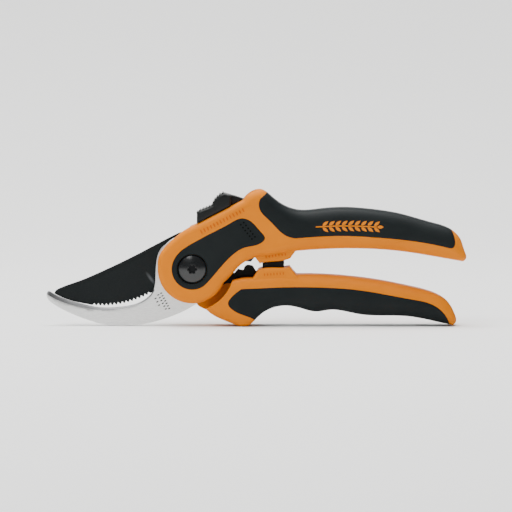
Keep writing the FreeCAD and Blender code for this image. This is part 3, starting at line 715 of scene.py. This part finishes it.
def make_blade():
    loops = [spaced(loop, 0.4) for loop in section("cutting_blade", (BLADE_FRONT + BLADE_BACK) / 2)]
    starts, ends = sides(loops)
    edge_starts, edge_ends = edge_between(loops, *TOOTHED_EDGE, False)

    def front(places):
        near = distance(places, edge_starts, edge_ends)
        honed = HONED_DEPTH * np.clip(1 - near / HONED_WIDTH, 0, 1)
        return BLADE_FRONT + arch(distance(places, starts, ends), 0.2, 0.2) + honed

    def back(places):
        near = distance(places, edge_starts, edge_ends)
        bevel = (BLADE_BACK - BLADE_FRONT - EDGE_THICK) * np.clip(1 - near / GROUND_WIDTH, 0, 1)
        return BLADE_BACK - np.maximum(arch(distance(places, starts, ends), 0.35, 0.35), bevel)

    shell = shell_data(loops, front, back, (0.1, 0.3, 0.8, 1.6, 2.4, 2.6, 4.0, 6.0, 7.9, 8.2), 1.8, 0.4)
    piece = make_object("blade_plate", [shell], 20)
    return place_piece(piece, "lower_body", "coated_steel", COATING, "cutting_blade")


def add_painted_highlight(material, place, turn, length, width):
    """A painted highlight: a paler lens in a coating, at a place given as (u, w)."""
    tree = material.node_tree
    shader = next(node for node in tree.nodes if node.type == "BSDF_PRINCIPLED")
    coating = shader.inputs["Base Color"].links[0].from_socket
    coordinates = tree.nodes.new("ShaderNodeTexCoord")
    fit = tree.nodes.new("ShaderNodeMapping")
    fit.vector_type = "TEXTURE"
    fit.inputs["Location"].default_value = (PIVOT[0] + place[0] * MM, 0, PIVOT[2] + place[1] * MM)
    fit.inputs["Rotation"].default_value = (0, math.radians(turn), 0)
    fit.inputs["Scale"].default_value = (length / 2 * MM, 1, width / 2 * MM)
    blob = tree.nodes.new("ShaderNodeTexGradient")
    blob.gradient_type = "SPHERICAL"
    blend = tree.nodes.new("ShaderNodeMix")
    blend.data_type = "RGBA"
    blend.inputs["B"].default_value = (0.07, 0.075, 0.08, 1)
    tree.links.new(coordinates.outputs["Object"], fit.inputs["Vector"])
    tree.links.new(fit.outputs["Vector"], blob.inputs["Vector"])
    tree.links.new(blob.outputs["Fac"], blend.inputs["Factor"])
    tree.links.new(coating, blend.inputs["A"])
    tree.links.new(blend.outputs["Result"], shader.inputs["Base Color"])


# A painted highlight on the blade near its heel.
add_painted_highlight(COATING, (-20.9, -5.2), 54.0, 9.0, 2.2)
hook = make_hook()
blade = make_blade()
print("hook faces", len(hook.data.polygons), "blade faces", len(blade.data.polygons))

# %% [markdown]
# ## Head panels
#
# A thin rubber panel sits in each head with a fine shadow gap round it. The front one has a collar that
# lines the bolt's recess, so the ring round the bolt reads dark and not the colour of the frame.


# %% Panels
PANEL_DEEP = RELIEF - 0.05


def make_panel(node, face, body, collar):
    """A panel of a head: rounded edge, and a collar that lines the bolt's recess."""
    low, high = box_mm(node)
    loops = [spaced(loop, 0.5) for loop in section(node, (low[1] + high[1]) / 2)]
    starts, ends = sides(loops)

    def outside(places):
        deep = PANEL_DEEP + arch(distance(places, starts, ends), 0.4, 0.3)
        return face * (HALF - deep)

    def inner(places):
        return np.full(len(places), low[1] if face > 0 else high[1])

    if face < 0:
        shell = shell_data(loops, outside, inner, (0.1, 0.25, 0.5, 0.8), 1.5, 0.5)
    else:
        shell = shell_data(loops, inner, outside, (0.1, 0.25, 0.5, 0.8), 1.5, 0.5)
    piece = make_object(node + "_panel", [shell] + collar)
    return place_piece(piece, body, "soft_grip", PANEL, node)


def ring_loop(radius, count=96):
    turn = np.arange(count) * 2 * math.pi / count
    return np.stack([radius * np.cos(turn), radius * np.sin(turn)], 1)


COLLAR_TOP = box_mm("front_inlay")[1][1]
COLLAR_FOOT = box_mm("bolt_washer")[1][1]
bolt_collar = shell_data([ring_loop(BOLT_RADIUS + 0.38), ring_loop(BOLT_RADIUS + 0.12)],
                         flat_at(COLLAR_TOP - 0.1), flat_at(COLLAR_FOOT - 0.03), (), 1.0, 0.5)
make_panel("front_inlay", -1, "upper_body", [bolt_collar])
make_panel("rear_inlay", 1, "lower_body", [])

# %% [markdown]
# ## Pivot
#
# One bolt holds the head together: a low dome with a six-lobed drive in front, and a chamfered nut on a
# washer behind. The dome sits in a round recess, so a dark ring shows round it.


# %% Pivot bolt and nut
DOME_RISE, DOME_POWER = 1.7, 1.8  # how far the dome falls to its rim, and how early
SOCKET_RADIUS, SOCKET_FLOOR = 2.5, 1.85
NUT_CHAMFER_FROM, NUT_CHAMFER_SLOPE = 6.0, 0.58  # the cone that takes off the corners
NUT_MOUTH, NUT_MOUTH_SLOPE = 4.5, 0.5  # the countersink round the thread


def make_bolt():
    low, high = box_mm("pivot_bolt")
    loops = section("pivot_bolt", low[1] + 1.5)
    loops = [spaced(loop, 0.35) for loop in loops]
    starts, ends = sides(loops)
    shank = box_mm("pivot_bush")[0][1] - box_mm("bolt_washer")[1][1] + 4.0

    def dome(places):
        reach = np.hypot(places[:, 0], places[:, 1])
        crown = DOME_RISE * (reach / BOLT_RADIUS) ** DOME_POWER
        return low[1] + crown + arch(distance(places, starts, ends), 0.25, 0.22)

    head_back = box_mm("bolt_washer")[0][1]
    rounds = [ring_loop(radius, int(radius * 16)) for radius in np.arange(3.3, BOLT_RADIUS - 0.9, 0.35)]
    head = shell_data(loops, dome, flat_at(head_back), (0.08, 0.17, 0.3, 0.7), 20.0, 0.35, np.vstack(rounds))
    floor = shell_data([ring_loop(SOCKET_RADIUS, 48)], flat_at(low[1] + SOCKET_FLOOR),
                       flat_at(head_back - 0.01), (), 1.0, 0.4)
    stem_loop = [ring_loop(shank)]

    def stem_end(places):
        reach = np.hypot(places[:, 0], places[:, 1])
        return high[1] - np.clip(reach - shank + 0.6, 0, 1)

    stem = shell_data(stem_loop, flat_at(head_back), stem_end, (0.3, 0.6), 1.2, 0.4)
    piece = make_object("pivot_bolt_turned", [head, floor, stem])
    place_piece(piece, "upper_body", "black_steel", OXIDE, "pivot_bolt")
    # The second material is painted shade for the inside of the drive.
    piece.data.materials.append(SOCKET_SHADE)
    for face in piece.data.polygons:
        across, deep, up = (np.array(face.center) - PIVOT * [1, 0, 1]) / MM
        within = math.hypot(across, up) < SOCKET_RADIUS - 0.05 and low[1] + 0.5 < deep < low[1] + 2.2
        face.material_index = 1 if within else 0
    return piece


def make_nut():
    low, high = box_mm("pivot_nut")
    loops = [spaced(loop, 0.4) for loop in section("pivot_nut", (low[1] + high[1]) / 2)]

    def chamfered(places):
        reach = np.hypot(places[:, 0], places[:, 1])
        corner = NUT_CHAMFER_SLOPE * np.clip(reach - NUT_CHAMFER_FROM, 0, None)
        mouth = NUT_MOUTH_SLOPE * np.clip(NUT_MOUTH - reach, 0, None)
        return high[1] - corner - mouth

    shell = shell_data(loops, flat_at(low[1]), chamfered, (0.15, 0.3, 0.5), 0.7, 0.4)
    piece = make_object("pivot_nut_chamfered", [shell], 25)
    return place_piece(piece, "upper_body", "black_steel", OXIDE, "pivot_nut")


make_bolt()
make_nut()

# %% [markdown]
# ## Thumb lock
#
# The slider is a black moulding with a dip and a step that the thumb pushes, ribbed across for grip.
# The ribs repeat, so one Geometry Nodes tree sets them out along the crest, and the same tree makes the
# other rows of small marks further down.
# Its narrow tail runs into the notch in the frame's peak.


# %% Lock slider
def row_tree():
    """Geometry Nodes tree: round-sided studs, one for each pitch along the paths that it is given."""
    tree = bpy.data.node_groups.new("stud_rows", "GeometryNodeTree")
    face = tree.interface
    face.new_socket("Geometry", in_out="INPUT", socket_type="NodeSocketGeometry")
    for name in ("Pitch", "Along", "Deep", "Across"):
        face.new_socket(name, in_out="INPUT", socket_type="NodeSocketFloat").default_value = 0.001
    face.new_socket("Material", in_out="INPUT", socket_type="NodeSocketMaterial")
    face.new_socket("Geometry", in_out="OUTPUT", socket_type="NodeSocketGeometry")
    nodes, links = tree.nodes, tree.links
    entry, leave = nodes.new("NodeGroupInput"), nodes.new("NodeGroupOutput")
    curve = nodes.new("GeometryNodeMeshToCurve")
    even = nodes.new("GeometryNodeResampleCurve")
    even.mode = "LENGTH"
    stud = nodes.new("GeometryNodeMeshCylinder")
    stud.inputs["Vertices"].default_value = 16
    stud.inputs["Radius"].default_value = 0.5
    stud.inputs["Depth"].default_value = 1.0
    tip = nodes.new("GeometryNodeTransform")
    tip.inputs["Rotation"].default_value = (math.pi / 2, 0, 0)
    size = nodes.new("ShaderNodeCombineXYZ")
    tangent = nodes.new("GeometryNodeInputTangent")
    align = nodes.new("FunctionNodeAlignRotationToVector")
    align.axis = "X"
    align.pivot_axis = "Y"
    place = nodes.new("GeometryNodeInstanceOnPoints")
    real = nodes.new("GeometryNodeRealizeInstances")
    paint = nodes.new("GeometryNodeSetMaterial")
    links.new(entry.outputs["Geometry"], curve.inputs["Mesh"])
    links.new(curve.outputs["Curve"], even.inputs["Curve"])
    links.new(entry.outputs["Pitch"], even.inputs["Length"])
    links.new(stud.outputs["Mesh"], tip.inputs["Geometry"])
    links.new(entry.outputs["Along"], size.inputs["X"])
    links.new(entry.outputs["Deep"], size.inputs["Y"])
    links.new(entry.outputs["Across"], size.inputs["Z"])
    links.new(tangent.outputs["Tangent"], align.inputs["Vector"])
    links.new(even.outputs["Curve"], place.inputs["Points"])
    links.new(tip.outputs["Geometry"], place.inputs["Instance"])
    links.new(align.outputs["Rotation"], place.inputs["Rotation"])
    links.new(size.outputs["Vector"], place.inputs["Scale"])
    links.new(place.outputs["Instances"], real.inputs["Geometry"])
    links.new(real.outputs["Geometry"], paint.inputs["Geometry"])
    links.new(entry.outputs["Material"], paint.inputs["Material"])
    links.new(paint.outputs["Geometry"], leave.inputs["Geometry"])
    return tree


ROWS = row_tree()


def stud_rows(name, paths, pitch, along, deep, across, body, slot, material):
    """Studs along paths of (u, y, w) places; the sizes are in millimetres."""
    places, edges = [], []
    for path in paths:
        edges += [(len(places) + step, len(places) + step + 1) for step in range(len(path) - 1)]
        places += [tuple(np.array(place) * MM + PIVOT * [1, 0, 1]) for place in path]
    mesh = bpy.data.meshes.new(name)
    mesh.from_pydata(places, edges, [])
    piece = bpy.data.objects.new(name, mesh)
    bpy.context.scene.collection.objects.link(piece)
    modifier = piece.modifiers.new("rows", "NODES")
    modifier.node_group = ROWS
    values = {"Pitch": pitch * MM, "Along": along * MM, "Deep": deep * MM, "Across": across * MM,
              "Material": material}
    for item in ROWS.interface.items_tree:
        if item.in_out == "INPUT" and item.name in values:
            modifier[item.identifier] = values[item.name]
    plain = bpy.data.meshes.new_from_object(piece.evaluated_get(bpy.context.evaluated_depsgraph_get()))
    piece.modifiers.remove(modifier)
    piece.data = plain
    tidy(piece)
    print(name, len(plain.polygons), "faces")
    return place_piece(piece, body, slot, material)


TAIL_HALF = 4.1
RIBBED = (2.6, 15.5)  # u of the first and the last rib
RIB_PITCH, RIB_SIZE = 1.6, 0.95


def make_slider():
    low, high = box_mm("lock_slider")
    half = high[1]
    block_loops = [spaced(loop, 0.4) for loop in section("lock_slider", -half + 0.6)]
    starts, ends = sides(block_loops)

    def block(places):
        return half - arch(distance(places, starts, ends), 1.3, 1.1)

    body_shell = shell_data(block_loops, lambda places: -block(places), block,
                            (0.08, 0.25, 0.5, 0.8, 1.1, 1.5), 1.2, 0.4)
    tail_loops = [spaced(loop, 0.5) for loop in section("lock_slider", -3.0)]
    tail_starts, tail_ends = sides(tail_loops)

    def tail(places):
        return TAIL_HALF - arch(distance(places, tail_starts, tail_ends), 0.4, 0.4)

    tail_shell = shell_data(tail_loops, lambda places: -tail(places), tail, (0.1, 0.25, 0.4), 1.5, 0.5)
    rib_starts, rib_ends = edge_between(block_loops, *RIBBED, True)
    middle = (rib_starts + rib_ends) / 2
    crest = [(u, 0.0, w) for u, w in sorted(middle.tolist())]
    piece = make_object("lock_slider_thumbpiece", [body_shell, tail_shell])
    place_piece(piece, "lock", "black_plastic", BLACK, "lock_slider")
    stud_rows("lock_slider_ribs", [crest], RIB_PITCH, RIB_SIZE, 2 * half - 1.7, RIB_SIZE, "lock",
              "black_plastic", BLACK)
    return piece


slider = make_slider()
print("slider faces", len(slider.data.polygons))

# %% [markdown]
# ## Return spring
#
# The spring is a coil of round wire whose ends are wound close. It stands between two cups, one in each
# handle.


# %% Spring
WIRE_RADIUS, COIL_RADIUS = 0.55, 3.1
END_WINDING = 0.055  # draws the coils at both ends together


def make_spring(turns=8.0, around=12, per_turn=36):
    x = (box_mm("upper_spring_cup")[0][0] + box_mm("upper_spring_cup")[1][0]) / 2
    bottom = box_mm("lower_spring_cup")[1][2] + WIRE_RADIUS
    top = box_mm("upper_spring_cup")[0][2] - WIRE_RADIUS
    count = int(turns * per_turn)
    upward = np.array([0, 0, 1])
    places, faces = [], []
    for number in range(count + 1):
        part = number / count
        turn = 2 * math.pi * turns * part
        ease = part - END_WINDING * math.sin(4 * math.pi * part)
        height = bottom + (top - bottom) * ease
        outward = np.array([math.cos(turn), math.sin(turn), 0])
        centre = np.array([x + COIL_RADIUS * math.cos(turn), COIL_RADIUS * math.sin(turn), height])
        for step in range(around):
            angle = 2 * math.pi * step / around
            round_wire = outward * math.cos(angle) + upward * math.sin(angle)
            places.append(centre + WIRE_RADIUS * round_wire)
    for number in range(count):
        for step in range(around):
            after = (step + 1) % around
            here, ahead = number * around, (number + 1) * around
            faces.append((here + step, here + after, ahead + after, ahead + step))
    faces.append(tuple(reversed(range(around))))
    faces.append(tuple(count * around + step for step in range(around)))
    piece = make_object("return_spring_coil", [(np.array(places) * MM + PIVOT * [1, 0, 1], faces)])
    piece.data.materials.append(WIRE)
    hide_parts("return_spring")
    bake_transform(piece)
    return piece


make_spring()

# %% [markdown]
# ## Small marks
#
# Moulded and printed marks are what make a tool look made: a sprig on the grip, rows of moulded bars
# beside the lock and on the spring bosses, etched dashes on the hook and pips on the panel. They stand in
# for lettering, and say nothing. The moulded bars and the pips are coloured darker than the moulding they
# stand on: that darker tone is painted shade, for the shade that fine lettering catches.


# %% Marks
def on_face(loops_list, name, body, slot, material, raised, nodes, boss):
    """Thin raised shapes that follow a handle's rounded front face."""
    outline = outer_sides(nodes, -(HALF - 0.1), CLEAR_RADIUS)
    drop = handle_drop(outline, False, boss)
    shells = []
    for loop in loops_list:
        shells.append(shell_data([loop], lambda places: -(HALF - drop(places)) - raised,
                                 lambda places: -(HALF - drop(places)) + 0.25, (0.1,), 0.5, 0.3))
    piece = make_object(name, shells)
    return place_piece(piece, body, slot, material)


def leaf(base, turn, length, width, count=9):
    """Outline of a pointed leaf."""
    angle = math.radians(turn)
    part = np.linspace(0, 1, count)
    bulge = width / 2 * np.sin(math.pi * part ** 0.85)
    along = np.concatenate([part, part[-2:0:-1]]) * length
    side = np.concatenate([bulge, -bulge[-2:0:-1]])
    return np.stack([base[0] + along * math.cos(angle) - side * math.sin(angle),
                     base[1] + along * math.sin(angle) + side * math.cos(angle)], 1)


def sprig():
    """A stem with paired leaves, along the grip."""
    shapes = []
    stem_low = [(61.5 + 1.6 * step, 21.1 + 0.5 * math.sin(step * 0.17)) for step in range(20)]
    stem = np.array([(u, w - 0.28) for u, w in stem_low] + [(u, w + 0.28) for u, w in reversed(stem_low)])
    shapes.append(stem)
    for step in range(2, 19, 2):
        u, w = stem_low[step]
        shapes.append(leaf((u + 0.2, w + 0.45), 38, 3.6, 1.55))
        shapes.append(leaf((u + 0.2, w - 0.45), -38, 3.6, 1.55))
    shapes.append(leaf((stem_low[-1][0] + 0.2, stem_low[-1][1]), 0, 3.2, 1.6))
    return shapes


on_face(sprig(), "grip_sprig", "upper_body", "orange_plastic", ORANGE, PROUD + 0.04, UPPER, UPPER_BOSS)


def face_path(first, second, raised, deep, nodes, boss):
    """A straight path just over a handle's front face, for studs that stand out of it."""
    outline = outer_sides(nodes, -(HALF - 0.1), CLEAR_RADIUS)
    drop = handle_drop(outline, False, boss)
    line = np.array(first) + (np.array(second) - np.array(first)) * np.linspace(0, 1, 40)[:, None]
    return [(u, -(HALF - low) - raised + deep / 2, w) for (u, w), low in zip(line, drop(line))]


MARK_DEEP = 0.9
# The bars are raised in the same nylon; their darker orange is painted shade.
upper_marks = [((4.6, 18.7), (25.4, 29.5), 1.7, 0.75, 2.2), ((36.8, 6.0), (46.4, 7.3), 1.4, 0.6, 1.4)]
for number, (first, second, pitch, along, across) in enumerate(upper_marks):
    path = face_path(first, second, RELIEF, MARK_DEEP, UPPER, UPPER_BOSS)
    stud_rows("upper_moulded_bars_%d" % number, [path], pitch, along, MARK_DEEP, across, "upper_body",
              "orange_plastic", SHADED_MARK)
path = face_path((36.0, -2.7), (45.4, -2.1), RELIEF, MARK_DEEP, LOWER, LOWER_BOSS)
stud_rows("lower_moulded_bars", [path], 1.4, 0.6, MARK_DEEP, 1.4, "lower_body", "orange_plastic", SHADED_MARK)


def slanted_rows(rows, turn, deep):
    """Paths at one angle on a flat face, from pairs of a starting place and a length."""
    slant = np.array([math.cos(math.radians(turn)), math.sin(math.radians(turn))])
    ends = [(np.array(start), np.array(start) + slant * length) for start, length in rows]
    return [[(u, deep, w) for u, w in pair] for pair in ends]


etch_rows = slanted_rows((((-15.6, -12.4), 8.6), ((-17.0, -13.2), 8.0), ((-18.4, -15.0), 3.8)), -62,
                         HOOK_FRONT + 0.03)
stud_rows("hook_etching", etch_rows, 1.35, 0.7, 0.1, 1.3, "upper_body", "jaw_steel", ETCH)
PANEL_FACE = -(HALF - PANEL_DEEP)
# The pips are in the panel's own rubber; their darker tone is painted shade.
pip_rows = slanted_rows((((24.2, 22.2), 9.0), ((25.7, 23.3), 9.0)), -52, PANEL_FACE + 0.12)
stud_rows("inlay_pips", pip_rows, 1.5, 0.85, 0.4, 0.85, "upper_body", "soft_grip", PIP_SHADE)

# %% CAD nodes that keep their shape
for node, material in {
        "bolt_washer": PLAIN, "pivot_bush": BRONZE, "spring_washer": PLAIN, "upper_tang_pins": PLAIN,
        "lower_tang_pins": PLAIN, "upper_spring_cup": PLAIN, "lower_spring_cup": PLAIN,
        "bumper": BUMPER, "lock_bar": OXIDE, "lock_rivets": PLAIN, "detent_spring": WIRE}.items():
    item = frame["nodes"][node]
    item.data.materials.clear()
    item.data.materials.append(material)

# %% [markdown]
# ## Floor, light and camera
#
# A pale sweep carries a broad soft light from above, a high key from the blade side and a wash on the
# wall. A long lens square to the side shows the outline and the materials without hard reflections.


# %% Stage
SWEEP_START, SWEEP_RADIUS = 0.6, 2.4  # where the floor starts to curve up, in metres
STAGE_HALF = 4.0


def make_stage():
    """A floor that curves up behind into a wall."""
    profile = [(-3.0, 0.0), (SWEEP_START, 0.0)]
    for turn in range(5, 91, 5):
        angle = math.radians(turn)
        back = SWEEP_START + SWEEP_RADIUS * math.sin(angle)
        profile.append((back, SWEEP_RADIUS - SWEEP_RADIUS * math.cos(angle)))
    profile += [(3.0, 5.0)]
    places = [(x, y, z) for y, z in profile for x in (-STAGE_HALF, STAGE_HALF)]
    faces = [(2 * n, 2 * n + 1, 2 * n + 3, 2 * n + 2) for n in range(len(profile) - 1)]
    mesh = bpy.data.meshes.new("floor")
    mesh.from_pydata(places, [], faces)
    for polygon in mesh.polygons:
        polygon.use_smooth = True
    floor = bpy.data.objects.new("floor", mesh)
    bpy.context.scene.collection.objects.link(floor)
    material, tree, shader, mapping = new_material("pale_paper")
    noise = tree.nodes.new("ShaderNodeTexNoise")
    noise.inputs["Scale"].default_value = 3.0
    tree.links.new(mapping.outputs["Vector"], noise.inputs["Vector"])
    colour = tint(tree, noise.outputs["Fac"], (0.84, 0.84, 0.83), (0.86, 0.86, 0.85))
    tree.links.new(colour, shader.inputs["Base Color"])
    shader.inputs["Roughness"].default_value = 0.8
    floor.data.materials.append(material)


def add_light(name, place, target, width, height, power):
    """A soft rectangular light that faces the target."""
    data = bpy.data.lights.new(name, "AREA")
    data.shape = "RECTANGLE"
    data.size = width
    data.size_y = height
    data.energy = power
    light = bpy.data.objects.new(name, data)
    light.location = place
    light.rotation_euler = (Vector(target) - Vector(place)).to_track_quat("-Z", "Y").to_euler()
    bpy.context.scene.collection.objects.link(light)


make_stage()
add_light("top_softbox", (-0.2, 0.1, 1.7), (0.0, 0.1, 0.0), 1.6, 1.6, 60.0)
add_light("high_key", (-0.7, -1.3, 1.7), (0.0, 0.0, 0.03), 1.3, 1.0, 36.0)
add_light("wall_wash", (0.0, 0.2, 2.6), (0.0, 2.6, 0.8), 2.5, 0.8, 56.0)
world = bpy.data.worlds.new("soft_room")
world.use_nodes = True
world.node_tree.nodes["Background"].inputs["Color"].default_value = (1.0, 1.0, 0.995, 1)
world.node_tree.nodes["Background"].inputs["Strength"].default_value = 0.18
bpy.context.scene.world = world

# %% Camera
ELEVATION = math.radians(3.5)
DISTANCE = 1.9
SEEN_WIDTH = 0.256
AIM = Vector((-0.0002, 0.0, 0.0348))
lens = bpy.data.cameras.new("long_lens")
lens.sensor_width = 36.0
lens.lens = lens.sensor_width * DISTANCE / SEEN_WIDTH
camera = bpy.data.objects.new("camera", lens)
camera.location = AIM + Vector((0, -math.cos(ELEVATION), math.sin(ELEVATION))) * DISTANCE
camera.rotation_euler = (AIM - camera.location).to_track_quat("-Z", "Y").to_euler()
bpy.context.scene.collection.objects.link(camera)
bpy.context.scene.camera = camera
